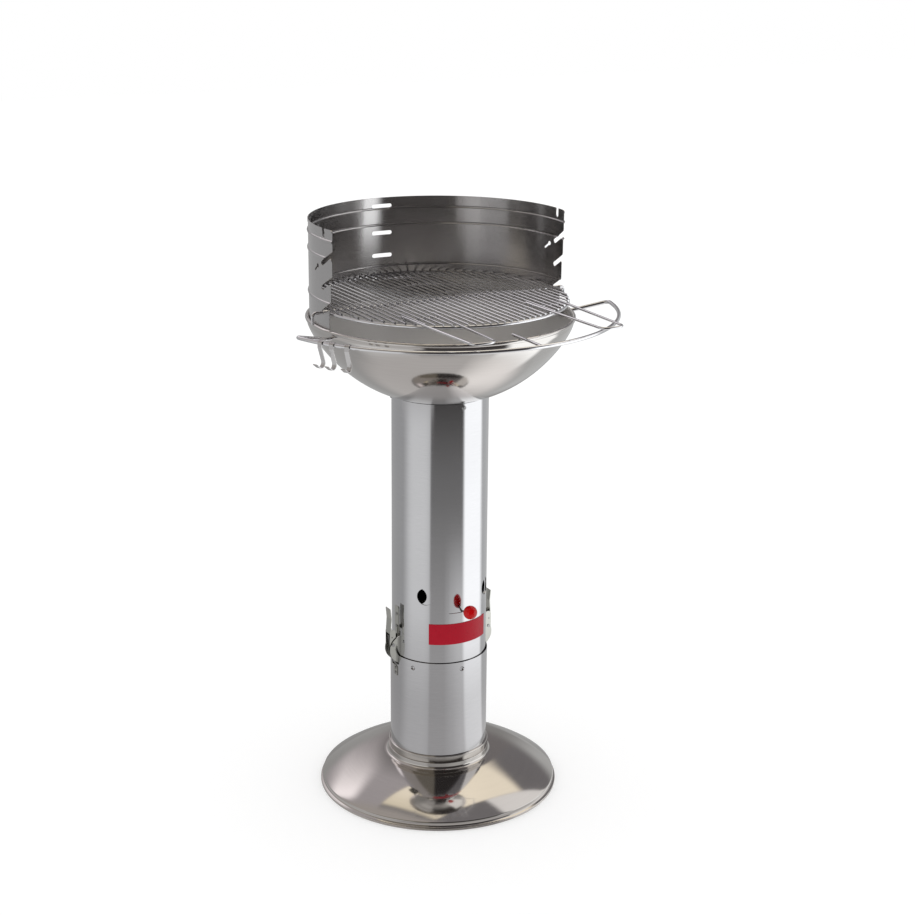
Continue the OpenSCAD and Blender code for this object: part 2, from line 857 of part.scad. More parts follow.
module latch_catch(side) color("silver") both_sides(side) {
    back = reservoir_r + weld_gap;
    middle = back + plate_t / 2;
    top = bar[1] + bail_r + seat_gap + plate_t;
    lip = [middle + catch_lip * cos(catch_slope), top - catch_lip * sin(catch_slope)];
    difference() {
        union() {
            across_y(-catch_w / 2, catch_w)
                polygon(strip(rounded_line([[middle, catch_low_z], [middle, top], lip],
                    [0, catch_bend, 0]), plate_t));
            for (s = [-1, 1])
                translate([back, s > 0 ? catch_w / 2 : -catch_foot_w / 2, catch_low_z])
                    cube([plate_t, (catch_foot_w - catch_w) / 2, catch_foot_h]);
        }
        for (rise = catch_rivet_rises)
            radial(90, catch_low_z + rise)
                cylinder(r = rivet_r + pin_gap, h = reservoir_r + 2 * over);
    }
}

module latch_pins() color("dimgray") {
    outer = cheek_y + cheek_t + weld_gap;
    for (side = [-1, 1], s = [-1, 1])
        both_sides(side)
            translate([pivot[0], 0, pivot[1]])
                rotate([-s * 90, 0, 0]) {
                    translate([0, 0, lever_wall_in - weld_gap - inner_head_t])
                        cylinder(r = pin_r, h = outer + head_t - lever_wall_in + weld_gap + inner_head_t);
                    translate([0, 0, lever_wall_in - weld_gap - inner_head_t])
                        cylinder(r = inner_head_r, h = inner_head_t);
                    translate([0, 0, outer])
                        cylinder(r = head_r, h = head_t);
                }
}

// Rivet through a wall of a tube and a plate on it, with a head on both sides
module rivet(inside, outside) {
    translate([0, 0, inside - inner_head_t - weld_gap])
        cylinder(r = rivet_r, h = outside - inside + head_t + inner_head_t + weld_gap);
    translate([0, 0, inside - inner_head_t - 3 * weld_gap])
        cylinder(r = head_r, h = inner_head_t);
    translate([0, 0, outside + weld_gap])
        cylinder(r = head_r, h = head_t);
}

module latch_rivets() color("dimgray") {
    for (s = [-1, 1]) {
        for (rise = base_rivet_rises)
            radial(s * 90, seam_z + rise)
                rivet(tube_in, tube_r + plate_t);
        for (rise = catch_rivet_rises)
            radial(s * 90, catch_low_z + rise)
                rivet(reservoir_r - tube_wall, reservoir_r + plate_t);
    }
}

// One slanted slot in the windscreen's outline, from its upper mouth round to its lower mouth
function slot_corners(k) =
    let (z = slot_level + (slot_count - 1 - k) * slot_pitch, c = cos(slot_slope), s = sin(slot_slope))
    let (half = grid_slot_w / 2, end = [-slot_y, z], u = [-c, s], n = [s, c])
    let (up_run = (tooth_fronts[k] - slot_y + s * half) / c)
    let (low_run = (tooth_fronts[k + 1] - slot_y - s * half) / c)
    [end + half * n + up_run * u, end + half * n - half * u, end - half * n - half * u,
        end - half * n + low_run * u];

function screen_outline() =
    let (back = screen_r + bead_proud + over, last = tooth_fronts[slot_count])
    concat(
        [[back, screen_top], [-tooth_fronts[0], screen_top]],
        [for (k = [0:slot_count - 1]) each slot_corners(k)],
        [[-last, slot_level - foot_front_drop / 2], [-foot_front, slot_level - foot_front_drop],
            [-foot_front, screen_low - over], [back, screen_low - over]]);

function screen_radii() = concat(
    [0, tooth_round],
    [for (k = [0:slot_count - 1])
        each [tooth_round, grid_slot_w * slot_end_share, grid_slot_w * slot_end_share,
            tooth_round * tooth_low_share]],
    [tooth_round * tooth_foot_share, tooth_round * tooth_foot_share, 0, 0]);

module screen_section() {
    difference() {
        union() {
            translate([screen_in, screen_low])
                square([screen_wall, screen_top - screen_low]);
            translate([screen_in, screen_top - hem_h])
                square([screen_wall + hem_t, hem_h]);
            for (share = bead_shares)
                translate([screen_r + bead_proud - bead_r, screen_top - screen_rise * share])
                    circle(r = bead_r);
        }
        for (share = bead_shares)
            translate([screen_r + bead_proud - bead_r, screen_top - screen_rise * share])
                circle(r = bead_r - screen_wall);
        translate([0, screen_low])
            square([screen_in, screen_top - screen_low]);
    }
}

module windscreen() color("silver") {
    half = screen_r + 2 * over;
    difference() {
        intersection() {
            rotate_extrude()
                screen_section();
            across_x(half)
                polygon(rounded(screen_outline(), screen_radii()));
        }
        across_x(half)
            translate([-notch_y, screen_top - notch_depth + notch_w / 2]) {
                circle(d = notch_w);
                translate([-notch_w / 2, 0])
                    square([notch_w, 2 * notch_depth]);
            }
        across_x(half)
            translate([key_y, screen_top - screen_rise * key_drop_share]) {
                circle(r = key_r);
                rotate(-key_slope)
                    translate([key_slot_l / 2, 0])
                        slot_shape(key_slot_l, key_slot_w);
            }
        for (z = concat([screen_top - top_rear_drop],
            [for (k = [0:slot_count - 1]) rear_slot_level + k * slot_pitch]))
            radial(180, z)
                linear_extrude(half)
                    slot_shape(rear_slot_w, rear_slot_h);
    }
}

module grid_cross_rod() color("silver") {
    x = screen_r + cross_overhang;
    wire([[-x, -slot_y, cross_z - cross_drop], [-x, -slot_y, cross_z], [x, -slot_y, cross_z],
        [x, -slot_y, cross_z - cross_drop]], ring_bar_r, cross_bend);
}

module grid_ring() color("silver") {
    difference() {
        translate([0, 0, cross_z])
            rotate_extrude()
                translate([ring_mid_r, 0])
                    circle(r = ring_bar_r);
        translate([0, -slot_y, cross_z])
            cube([2 * screen_r, 2 * (ring_bar_r + weld_gap), 2 * over], center = true);
    }
}

module grid_rods() color("silver") {
    for (k = [-grid_half_count:grid_half_count]) {
        x = k * grid_pitch;
        half = sqrt(pow(ring_mid_r + rod_overhang, 2) - x * x);
        bar_between([x, -half, rods_z], [x, half, rods_z], grid_rod_r);
    }
}

module grid_tongue() color("silver") {
    half = tongue_w / 2;
    root_y = screen_r - tongue_root;
    tip_y = screen_r + tongue_tip - tongue_r;
    wire([[-half, root_y, tongue_z], [-half, tip_y, tongue_z], [half, tip_y, tongue_z], [half, root_y, tongue_z]],
        tongue_r, tongue_bend);
}

module grid_handle(x) color("silver") {
    swept_wire(bent_line([[x - handle_root_w / 2, handle_inner_y, handles_z],
        [x - handle_w / 2, handle_end_y, handles_z], [x + handle_w / 2, handle_end_y, handles_z],
        [x + handle_root_w / 2, handle_inner_y, handles_z]], handle_bend), handle_wire_r, wire_sides);
}

module grid_handle_bars() color("silver") {
    y = handle_inner_y - handle_bar_inset;
    for (x = handle_xs)
        bar_between([x - handle_root_w * handle_bar_half_share, y, handle_bar_z],
            [x + handle_root_w * handle_bar_half_share, y, handle_bar_z], handle_bar_r);
}

module charcoal_ring() color("dimgray") {
    translate([0, 0, grate_z])
        rotate_extrude()
            translate([grate_r, 0])
                circle(r = grate_bar_r);
}

module charcoal_rods() color("dimgray") {
    for (k = [-grate_half_count:grate_half_count]) {
        x = k * grate_pitch;
        half = sqrt(pow(grate_r + rod_overhang, 2) - x * x);
        bar_between([-half, x, grate_rods_z], [half, x, grate_rods_z], grate_rod_r);
    }
}

// Points of the rail's right leg, from the end of its arc through the bowl's wall
function leg_points() =
    let (a = rail_half, end = [rail_arc_r * sin(a), rail_shift - rail_arc_r * cos(a), rail_z])
    let (wall_x = sqrt(bowl_r * bowl_r - leg_y * leg_y))
    bent_line([end, end + corner_run * [cos(a), sin(a), 0],
        [wall_x + leg_out, -leg_y, leg_z], [wall_x - leg_in, -leg_y, leg_z]], rail_bend);

module front_rail() color("silver") {
    leg = leg_points();
    left = [for (i = [len(leg) - 1:-1:0]) [-leg[i][0], leg[i][1], leg[i][2]]];
    arc = [for (i = [1:rail_steps - 1])
        let (a = rail_half * (2 * i - rail_steps) / rail_steps)
        [rail_arc_r * sin(a), rail_shift - rail_arc_r * cos(a), rail_z]];
    swept_wire(concat(left, arc, leg), rail_wire_r, wire_sides);
}

module rail_nuts() color("silver") {
    inner_r = curve_r(leg_z - nut_r) - 2 * bowl_wall;
    face = sqrt(inner_r * inner_r - pow(leg_y + nut_r, 2)) - weld_gap;
    for (side = [-1, 1])
        both_sides(side)
            translate([face - nut_t, -leg_y, leg_z])
                rotate([0, 90, 0])
                    difference() {
                        cylinder(r = nut_r, h = nut_t, $fn = nut_sides);
                        translate([0, 0, -over])
                            cylinder(r = rail_wire_r + weld_gap, h = nut_t + 2 * over);
                    }
}

module rail_strut() color("silver") {
    inner = rail_arc_r - rail_wire_r - weld_gap;
    bar_between([strut_x, -(bowl_r - strut_in), strut_z],
        [strut_x, rail_shift - sqrt(inner * inner - strut_x * strut_x), strut_z], strut_r);
}

// Hook profile: first coordinate is the distance outside the rail's wire, second the height above it
function hook_line() =
    let (g = rail_wire_r + hook_gap + hook_t / 2)
    rounded_line([[-g, -hook_return], [-g, g], [g, g], [g, -hook_straight], [g - hook_lean, -hook_drop],
        [g - hook_lean + hook_tip_out, hook_tip_up - hook_drop]],
        [0, g * hook_top_share, g * hook_top_share, hook_round / 2, hook_round, 0]);

module hook(i) color("silver") {
    translate([0, rail_shift, rail_z])
        rotate([0, 0, hook_azimuths[i]])
            translate([0, -rail_arc_r, 0])
                rotate([90, 0, -90])
                    linear_extrude(hook_w, center = true)
                        polygon(strip(hook_line(), hook_t));
}

base_plate();
base_collar();
base_bolts();
base_nuts();
reservoir_tube();
reservoir_floor();
upper_tube();
bowl();
bowl_spigot();
bowl_screws();
damper_sleeve();
damper_lever();
damper_knob();
badge_plate();
latch_base(-1);  // latch_base_left
latch_base(1);  // latch_base_right
latch_lever(-1);  // latch_lever_left
latch_lever(1);  // latch_lever_right
latch_bail(-1);  // latch_bail_left
latch_bail(1);  // latch_bail_right
latch_catch(-1);  // latch_catch_left
latch_catch(1);  // latch_catch_right
latch_pins();
latch_rivets();
windscreen();
grid_ring();
grid_rods();
grid_cross_rod();
grid_tongue();
grid_handle(handle_xs[0]);  // grid_handle_left
grid_handle(handle_xs[1]);  // grid_handle_right
grid_handle_bars();
charcoal_ring();
charcoal_rods();
front_rail();
rail_strut();
rail_nuts();
hook(0);  // hook_1
hook(1);  // hook_2
hook(2);  // hook_3
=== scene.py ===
"""Column charcoal grill: its finish, its smooth spun and wire pieces, and the studio around it.

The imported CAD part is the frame. Everything is in metres, +Z up, front towards -Y.
Sizes of pieces are written in millimetres and turned into metres by MM.
"""

import json
import math
from collections import namedtuple

import bmesh
import bpy
from mathutils import Matrix, Vector


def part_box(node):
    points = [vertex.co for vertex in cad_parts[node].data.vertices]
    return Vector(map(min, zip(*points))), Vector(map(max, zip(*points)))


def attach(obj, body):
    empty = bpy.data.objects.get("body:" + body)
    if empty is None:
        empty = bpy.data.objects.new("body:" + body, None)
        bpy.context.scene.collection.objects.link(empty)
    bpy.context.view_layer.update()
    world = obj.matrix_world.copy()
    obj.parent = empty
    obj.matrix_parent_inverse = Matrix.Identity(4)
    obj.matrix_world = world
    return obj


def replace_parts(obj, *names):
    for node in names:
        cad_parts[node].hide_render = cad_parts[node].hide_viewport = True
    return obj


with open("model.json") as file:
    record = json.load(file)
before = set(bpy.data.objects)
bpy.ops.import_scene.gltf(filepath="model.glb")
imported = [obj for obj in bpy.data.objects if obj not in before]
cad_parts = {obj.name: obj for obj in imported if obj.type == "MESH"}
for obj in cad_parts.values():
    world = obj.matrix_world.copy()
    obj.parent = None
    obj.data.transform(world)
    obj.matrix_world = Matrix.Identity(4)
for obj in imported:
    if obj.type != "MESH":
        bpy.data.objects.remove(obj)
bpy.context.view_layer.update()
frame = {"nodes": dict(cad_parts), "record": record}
NODES = frame["nodes"]

MM = 0.001

# Camera, fitted to the photo: place, direction, turn about its own axis in degrees
CAMERA_PLACE = Vector((-1.5692, -2.8901, 1.6707))
CAMERA_AIM = Vector((0.4643, 0.8350, -0.2952))
CAMERA_ROLL = 0.487
# Lens and sensor in millimetres
CAMERA_LENS = 72.46
CAMERA_SENSOR = 36
# Nearest and farthest thing that it shows
CAMERA_NEAR = 0.05
CAMERA_FAR = 60
# The studio is laid out round the direction from the grill to the camera, in degrees on the plan
CAMERA_AZIMUTH = -28.5


# Node trees


class Graph:
    """Builds a node tree step by step. A method returns an output socket, except where it says more."""

    def __init__(self, tree):
        self.tree = tree
        tree.nodes.clear()

    def node(self, kind, **settings):
        """A new node itself, with its settings."""
        n = self.tree.nodes.new(kind)
        for key, value in settings.items():
            setattr(n, key, value)
        return n

    def put(self, socket, value):
        """Links an output to the socket, or sets it to a constant."""
        if isinstance(value, bpy.types.NodeSocket):
            self.tree.links.new(value, socket)
        else:
            socket.default_value = value

    def math(self, operation, a, b=0.0):
        n = self.node("ShaderNodeMath", operation=operation)
        self.put(n.inputs[0], a)
        self.put(n.inputs[1], b)
        return n.outputs[0]

    def vector(self, operation, a, b=(0, 0, 0)):
        n = self.node("ShaderNodeVectorMath", operation=operation)
        self.put(n.inputs[0], a)
        self.put(n.inputs[1], b)
        return n.outputs["Value" if operation in ("DOT_PRODUCT", "LENGTH") else "Vector"]

    def split(self, vector):
        """The three parts of a vector."""
        n = self.node("ShaderNodeSeparateXYZ")
        self.put(n.inputs[0], vector)
        return n.outputs[0], n.outputs[1], n.outputs[2]

    def join(self, x, y, z):
        n = self.node("ShaderNodeCombineXYZ")
        for socket, value in zip(n.inputs, (x, y, z)):
            self.put(socket, value)
        return n.outputs[0]

    def flat_unit(self, vector):
        """The vector's direction on the plan."""
        x, y, _ = self.split(vector)
        return self.vector("NORMALIZE", self.join(x, y, 0.0))

    def noise(self, vector, scale=1.0, detail=2.0, roughness=0.5):
        n = self.node("ShaderNodeTexNoise")
        self.put(n.inputs["Vector"], vector)
        self.put(n.inputs["Scale"], scale)
        self.put(n.inputs["Detail"], detail)
        self.put(n.inputs["Roughness"], roughness)
        return n.outputs[0]

    def remap(self, value, low, high, to_low=0.0, to_high=1.0, smooth=False):
        """Turns the span from low to high into the span from to_low to to_high, and holds its ends."""
        n = self.node("ShaderNodeMapRange", interpolation_type="SMOOTHSTEP" if smooth else "LINEAR")
        ends = {"From Min": low, "From Max": high, "To Min": to_low, "To Max": to_high}
        self.put(n.inputs["Value"], value)
        for key, end in ends.items():
            self.put(n.inputs[key], end)
        return n.outputs[0]

    def mix(self, share, a, b, blend="MIX"):
        n = self.node("ShaderNodeMix", data_type="RGBA", blend_type=blend)
        self.put(n.inputs[0], share)
        self.put(n.inputs[6], a)
        self.put(n.inputs[7], b)
        return n.outputs[2]

    def dimmed(self, colour, level):
        """The colour times a level that varies."""
        return self.mix(1.0, colour, self.join(level, level, level), "MULTIPLY")

    def object_point(self):
        return self.node("ShaderNodeTexCoord").outputs["Object"]

    def bump(self, height, distance):
        """The normal of a surface whose height is counted in units of distance, in metres."""
        n = self.node("ShaderNodeBump")
        self.put(n.inputs["Height"], height)
        n.inputs["Distance"].default_value = distance
        return n.outputs[0]

    def principled(self, **inputs):
        """The shader node of a real surface; an input's name has _ for each space."""
        shader = self.node("ShaderNodeBsdfPrincipled")
        for key, value in inputs.items():
            self.put(shader.inputs[key.replace("_", " ")], value)
        return shader

    def glow(self, colour):
        n = self.node("ShaderNodeEmission")
        self.put(n.inputs["Color"], colour)
        return n.outputs[0]

    def surface(self, shader):
        """Makes the shader the material's surface."""
        out = self.node("ShaderNodeOutputMaterial")
        self.put(out.inputs["Surface"], shader)


def rgba(colour):
    return (*colour, 1.0)


def grey(level, warm=0.0):
    """A grey of the given level; a positive warm adds red and takes blue away."""
    return rgba((level * (1 + warm), level, level * (1 - warm / 3)))


def new_material(name):
    m = bpy.data.materials.new(name)
    m.use_nodes = True
    return m, Graph(m.node_tree)


# Finishes

# How many of a pattern's patches lie along a metre
HANDLED_PATCHES = 14.0
STAIN_CLOUDS = 5.0
ENAMEL_PATCHES = 60.0
ORANGE_PEEL = 700.0
# The parts of a pattern's range that are used: for roughness, shade, handled patches and stains
ROUGH_SPAN = (0.3, 0.7)
SHADE_SPAN = (0.25, 0.75)
HANDLED_SPAN = (0.45, 0.75)
STAIN_SPAN = (0.35, 0.7)
# A ring of turned grain is a circle of this radius in its pattern
GRAIN_TURN = 4.0
# Nearest that its rings come to the axis, in metres
GRAIN_AXIS = 0.001
# How much of grain_share shows as shade
GRAIN_SHADE = 0.35
# Cosines of a face's normal with the direction out of the axis: the inner finish starts, and is full
INWARD_START = -0.02
INWARD_FULL = -0.06
# Metallic value of the inner finish
SATIN_METALLIC = 0.3
# How far brushed steel's highlight is turned, as a share of a turn
BRUSHED_TURN = 0.25
# Enamel: the range of its shade and of its roughness, as shares, and its skin
ENAMEL_SHADES = (0.96, 1.02)
ENAMEL_ROUGHS = (0.9, 1.1)
CLEAR_SKIN_ROUGHNESS = 0.05
# In millimetres
ORANGE_PEEL_DEPTH = 0.001


def grain_space(g, grain, size):
    """Coordinates in which one unit is a grain line: rings round the axis for round, else plain."""
    point = g.object_point()
    fine = 1 / size
    if grain == "plain":
        return g.vector("MULTIPLY", point, (fine, fine, fine))
    x, y, z = g.split(point)
    radius = g.math("MAXIMUM", g.vector("LENGTH", g.join(x, y, 0.0)), GRAIN_AXIS)
    turn_x = g.math("MULTIPLY", g.math("DIVIDE", x, radius), GRAIN_TURN)
    turn_y = g.math("MULTIPLY", g.math("DIVIDE", y, radius), GRAIN_TURN)
    turn_x = g.math("ADD", turn_x, g.math("MULTIPLY", radius, fine))
    return g.join(turn_x, turn_y, g.math("MULTIPLY", z, fine))


def inside_share(g, point):
    """1 on faces that look towards the column's axis, 0 on the others."""
    normal = g.node("ShaderNodeNewGeometry").outputs["True Normal"]
    outward = g.vector("DOT_PRODUCT", normal, g.flat_unit(point))
    return g.remap(outward, INWARD_START, INWARD_FULL)


def steel(name, tint, roughness, grain="plain", grain_size=1.2, grain_depth=0.0, grain_share=0.25,
          wave_size=20, wave_depth=0.01, stain=0.12, dull=0.25, brushed=0.0, satin_inside=0.0):
    """Bare or plated steel: grain lines, a slightly wavy sheet, faint stains and duller handled patches.

    Sizes and depths are in millimetres. grain_share and dull are shares of the roughness.
    brushed is how far the highlight is drawn out along the axis.
    satin_inside is what the faces that look towards the axis add to the roughness."""
    m, g = new_material(name)
    point = g.object_point()
    lines = g.noise(grain_space(g, grain, grain_size * MM), detail=4.0, roughness=0.6)
    patches = g.noise(point, HANDLED_PATCHES, detail=4.0, roughness=0.6)
    clouds = g.noise(point, STAIN_CLOUDS)
    rough = g.math("MULTIPLY", g.remap(lines, *ROUGH_SPAN, 1 - grain_share, 1 + grain_share), roughness)
    rough = g.math("MULTIPLY", rough, g.remap(patches, *HANDLED_SPAN, 1.0, 1.0 + dull))
    metallic = 1.0
    if satin_inside:
        inside = inside_share(g, point)
        rough = g.math("ADD", rough, g.math("MULTIPLY", inside, satin_inside))
        metallic = g.remap(inside, 0.0, 1.0, 1.0, SATIN_METALLIC)
    shade = g.remap(lines, *SHADE_SPAN, 1 - GRAIN_SHADE * grain_share, 1.0)
    shade = g.math("MULTIPLY", shade, g.remap(clouds, *STAIN_SPAN, 1.0, 1.0 - stain))
    shader = g.principled(Base_Color=g.dimmed(rgba(tint), shade), Metallic=metallic, Roughness=rough)
    if brushed:
        g.put(shader.inputs["Anisotropic"], brushed)
        g.put(shader.inputs["Anisotropic Rotation"], BRUSHED_TURN)
        tangent = g.node("ShaderNodeTangent", direction_type="RADIAL", axis="Z")
        g.put(shader.inputs["Tangent"], tangent.outputs[0])
    waves = g.noise(point, 1 / (wave_size * MM), detail=1.0, roughness=0.4)
    waves = g.math("MULTIPLY", waves, wave_depth)
    height = g.math("ADD", g.math("MULTIPLY", lines, grain_depth), waves)
    g.put(shader.inputs["Normal"], g.bump(height, MM))
    g.surface(shader.outputs[0])
    return m


def glossy_red(name, tint, roughness, coat, shine):
    """Red enamel or plastic with a clear skin and a trace of orange peel."""
    m, g = new_material(name)
    point = g.object_point()
    patches = g.noise(point, ENAMEL_PATCHES, detail=3.0)
    low, high = (roughness * share for share in ENAMEL_ROUGHS)
    shader = g.principled(
        Base_Color=g.dimmed(rgba(tint), g.remap(patches, *ROUGH_SPAN, *ENAMEL_SHADES)),
        Roughness=g.remap(patches, *ROUGH_SPAN, low, high),
        Coat_Weight=coat, Coat_Roughness=CLEAR_SKIN_ROUGHNESS, Specular_IOR_Level=shine,
        Normal=g.bump(g.noise(point, ORANGE_PEEL, detail=1.0), ORANGE_PEEL_DEPTH * MM))
    g.surface(shader.outputs[0])
    return m


FINISHES = {
    "steel_base": steel(
        "base_steel", (0.62, 0.595, 0.57), 0.085, grain="round", grain_size=0.8, grain_depth=0.0002,
        wave_size=120, wave_depth=0.012, stain=0.08),
    "steel_column": steel(
        "column_steel", (0.66, 0.66, 0.675), 0.10, grain="round", grain_size=0.6, grain_depth=0.0002,
        wave_size=160, wave_depth=0.02, stain=0.04),
    "steel_bowl": steel(
        "bowl_steel", (0.67, 0.65, 0.63), 0.085, grain="round", grain_size=0.9, grain_depth=0.0002,
        wave_size=140, wave_depth=0.015, stain=0.05, satin_inside=0.30),
    "steel_screen": steel(
        "screen_steel", (0.60, 0.59, 0.59), 0.19, grain="round", grain_size=0.5, grain_share=0.15,
        wave_size=150, wave_depth=0.02, stain=0.05, brushed=0.9),
    "chrome_wire": steel(
        "wire_chrome", (0.78, 0.78, 0.80), 0.07, grain_size=1.5, grain_depth=0.0001, grain_share=0.2,
        wave_size=30, wave_depth=0.003, stain=0.06),
    "grate_wire": steel(
        "grate_steel", (0.34, 0.33, 0.32), 0.38, grain_size=2.0, grain_depth=0.004, grain_share=0.3,
        wave_size=30, stain=0.2),
    "latch_steel": steel("latch_zinc", (0.58, 0.58, 0.54), 0.10, grain_depth=0.001),
    "bail_wire": steel("bail_dark_zinc", (0.26, 0.26, 0.26), 0.12, grain_depth=0.001),
    "fastener": steel("fastener_steel", (0.46, 0.46, 0.46), 0.22, grain_depth=0.002),
    "inner_steel": steel(
        "inner_steel_dull", (0.10, 0.095, 0.09), 0.45, grain="round", grain_size=1.0, grain_depth=0.001,
        grain_share=0.3, wave_size=60, wave_depth=0.02, stain=0.2),
    "badge_red": glossy_red("badge_enamel", (0.36, 0.003, 0.016), 0.30, coat=0.0, shine=0.18),
    "knob_red": glossy_red("knob_plastic", (0.42, 0.001, 0.003), 0.08, coat=0.15, shine=0.25),
}

# Nodes that look different from the rest of their slot
OWN_FINISH = {"latch_bail_left": "bail_wire", "latch_bail_right": "bail_wire"}


def finish_piece(piece, finish):
    """Gives the piece one of FINISHES in place of any other."""
    piece.data.materials.clear()
    piece.data.materials.append(FINISHES[finish])


for row in frame["record"]["subparts"]:
    finish_piece(NODES[row["node"]], OWN_FINISH.get(row["node"], row["material_slot"]))


# Meshes

# A turn of more than this between two faces is a sharp edge, in degrees
SHARP_ANGLE = 38
# A corner counts as straight, and isn't rounded, from this half of its angle on, in degrees
STRAIGHT_HALF = 89.5
# Points nearer than this are one point, in millimetres
SAME_POINT = 1e-4
# Sides of a turned piece
TURNED_SIDES = 256
# Steps of a rounded corner in an outline, and of a bend in a wire
CORNER_STEPS = 6
BEND_STEPS = 10
# How far a wire's end is rounded, as a share of its radius
END_ROUND = 0.35


def add_piece(name, points, faces, slot, body):
    """A mesh piece in metres with smooth faces and sharp edges."""
    mesh = bpy.data.meshes.new(name)
    mesh.from_pydata([tuple(p) for p in points], [], faces)
    mesh.validate()
    mesh.shade_smooth()
    mesh.set_sharp_from_angle(angle=math.radians(SHARP_ANGLE))
    piece = bpy.data.objects.new(name, mesh)
    bpy.context.scene.collection.objects.link(piece)
    finish_piece(piece, slot)
    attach(piece, body)
    return piece


def arc(centre, radius, start, end, steps):
    """Points on a circle in the plane of radius and height, angles in degrees."""
    turns = [math.radians(start + (end - start) * i / steps) for i in range(steps + 1)]
    return [Vector((centre[0] + radius * math.cos(t), centre[1] + radius * math.sin(t))) for t in turns]


def rounded_corners(line, radii, steps=CORNER_STEPS):
    """The line with its corners rounded; radii has one value for each inner corner."""
    out = [Vector(line[0])]
    for i, radius in enumerate(radii, start=1):
        before, here, after = (Vector(p) for p in (line[i - 1], line[i], line[i + 1]))
        u, w = (before - here).normalized(), (after - here).normalized()
        half = math.acos(max(-1.0, min(1.0, u.dot(w)))) / 2
        if radius == 0 or half > math.radians(STRAIGHT_HALF):
            out.append(here)
            continue
        centre = here + (u + w).normalized() * radius / math.sin(half)
        a = here + u * radius / math.tan(half) - centre
        b = here + w * radius / math.tan(half) - centre
        turn = a.angle(b)
        for k in range(steps + 1):
            t = k / steps
            out.append(centre + (a * math.sin(turn * (1 - t)) + b * math.sin(turn * t)) / math.sin(turn))
    return out + [Vector(line[-1])]


def offset_line(line, distance):
    """The same line moved to its left, in the plane of radius and height."""
    out = []
    for i, p in enumerate(line):
        a, b = Vector(line[max(i - 1, 0)]), Vector(line[min(i + 1, len(line) - 1)])
        along = (b - a).normalized()
        out.append(Vector(p) + distance * Vector((-along.y, along.x)))
    return out


def apart(line, gap):
    """The line without the points that lie within gap of the one before them."""
    return [p for i, p in enumerate(line) if i == 0 or (p - line[i - 1]).length > gap]


def revolve(name, outline, slot, body):
    """A closed outline of radius and height in millimetres, turned round the column's axis."""
    points, faces, rings = [], [], []
    for r, z in outline:
        sides = 1 if r < SAME_POINT else TURNED_SIDES
        rings.append(range(len(points), len(points) + sides))
        for k in range(sides):
            a = 2 * math.pi * k / sides
            points.append((r * MM * math.cos(a), r * MM * math.sin(a), z * MM))
    for low, high in zip(rings, rings[1:] + rings[:1]):
        for k in range(TURNED_SIDES):
            n = (k + 1) % TURNED_SIDES
            corners = [low[k % len(low)], low[n % len(low)], high[n % len(high)], high[k % len(high)]]
            corners = list(dict.fromkeys(corners))
            if len(corners) > 2:
                faces.append(corners)
    return add_piece(name, points, faces, slot, body)


def wire(name, line, radius, bend, slot, body, sides=20):
    """A round wire in millimetres along a bent line, with slightly rounded ends."""
    path = apart(rounded_corners(line, [bend] * (len(line) - 2), BEND_STEPS), SAME_POINT)
    last = len(path) - 1
    end = END_ROUND * radius
    across = (path[1] - path[0]).orthogonal().normalized()
    stations = []
    for i, p in enumerate(path):
        t = (path[min(i + 1, last)] - path[max(i - 1, 0)]).normalized()
        across = (across - across.dot(t) * t).normalized()
        if i == 0:
            stations += [(p, across, t, radius - end), (p + t * end, across, t, radius)]
        elif i == last:
            stations += [(p - t * end, across, t, radius), (p, across, t, radius - end)]
        else:
            stations.append((p, across, t, radius))
    points, faces = [], []
    for p, a, t, r in stations:
        b = t.cross(a)
        for k in range(sides):
            turn = 2 * math.pi * k / sides
            points.append((p + r * (math.cos(turn) * a + math.sin(turn) * b)) * MM)
    for i in range(len(stations) - 1):
        for k in range(sides):
            n = (k + 1) % sides
            faces.append([i * sides + k, i * sides + n, (i + 1) * sides + n, (i + 1) * sides + k])
    faces += [list(range(sides))[::-1], [(len(stations) - 1) * sides + k for k in range(sides)]]
    return add_piece(name, points, faces, slot, body)


def box_mm(node):
    """The low and high corners of a CAD node's box, in millimetres."""
    low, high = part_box(node)
    return low / MM, high / MM


# Base dome, in millimetres

BASE_WALL = 1.2
# Rolled foot: width, height, the rounding of its inner corners and the radius of its two outer beads
FOOT_WIDTH = 8
FOOT_HEIGHT = 5
FOOT_ROUND = 2.3
FOOT_BEAD = 1.3
# Where the two beads meet, in degrees from level
BEAD_MEET = 50
# Dome: height of its lower and upper edge, and how far it bulges out of a straight cone
DOME_LOW = 15
DOME_HIGH = 60
DOME_SAG = 10
DOME_STEPS = 48
# Flat top under the column: its run up to its edge, the rounding there, and the fillet down to the dome
FLAT_RUN = 8
FLAT_ROUND = 1.2
NECK_ROUND = 6
# How many of the dome's points the fillet at its upper and at its lower edge takes
NECK_POINTS = 4
SKIRT_POINTS = 2
# Skirt between dome and foot: its fillet, and the pressed groove with its rounding
SKIRT_ROUND = 3
GROOVE_HEIGHT = 8
GROOVE_DEPTH = 1.3
GROOVE_ROUND = 0.4
FOOT_STEPS = 8
# Points of the outline nearer than this are left out
OUTLINE_GAP = 0.05

_, base_high = box_mm("base_plate")
_, collar_high = box_mm("base_collar")
base_radius, stand_height, collar_radius = base_high.x, base_high.z, collar_high.x
foot_mid = base_radius - FOOT_WIDTH / 2


def dome_line():
    """The dome's outside, from its upper edge down to its lower one."""
    start = Vector((collar_radius + BASE_WALL, DOME_HIGH))
    end = Vector((foot_mid, DOME_LOW))
    along = (end - start).normalized()
    side = Vector((-along.y, along.x))
    steps = [i / DOME_STEPS for i in range(DOME_STEPS + 1)]
    return [start + (end - start) * t + side * 4 * DOME_SAG * t * (1 - t) for t in steps]


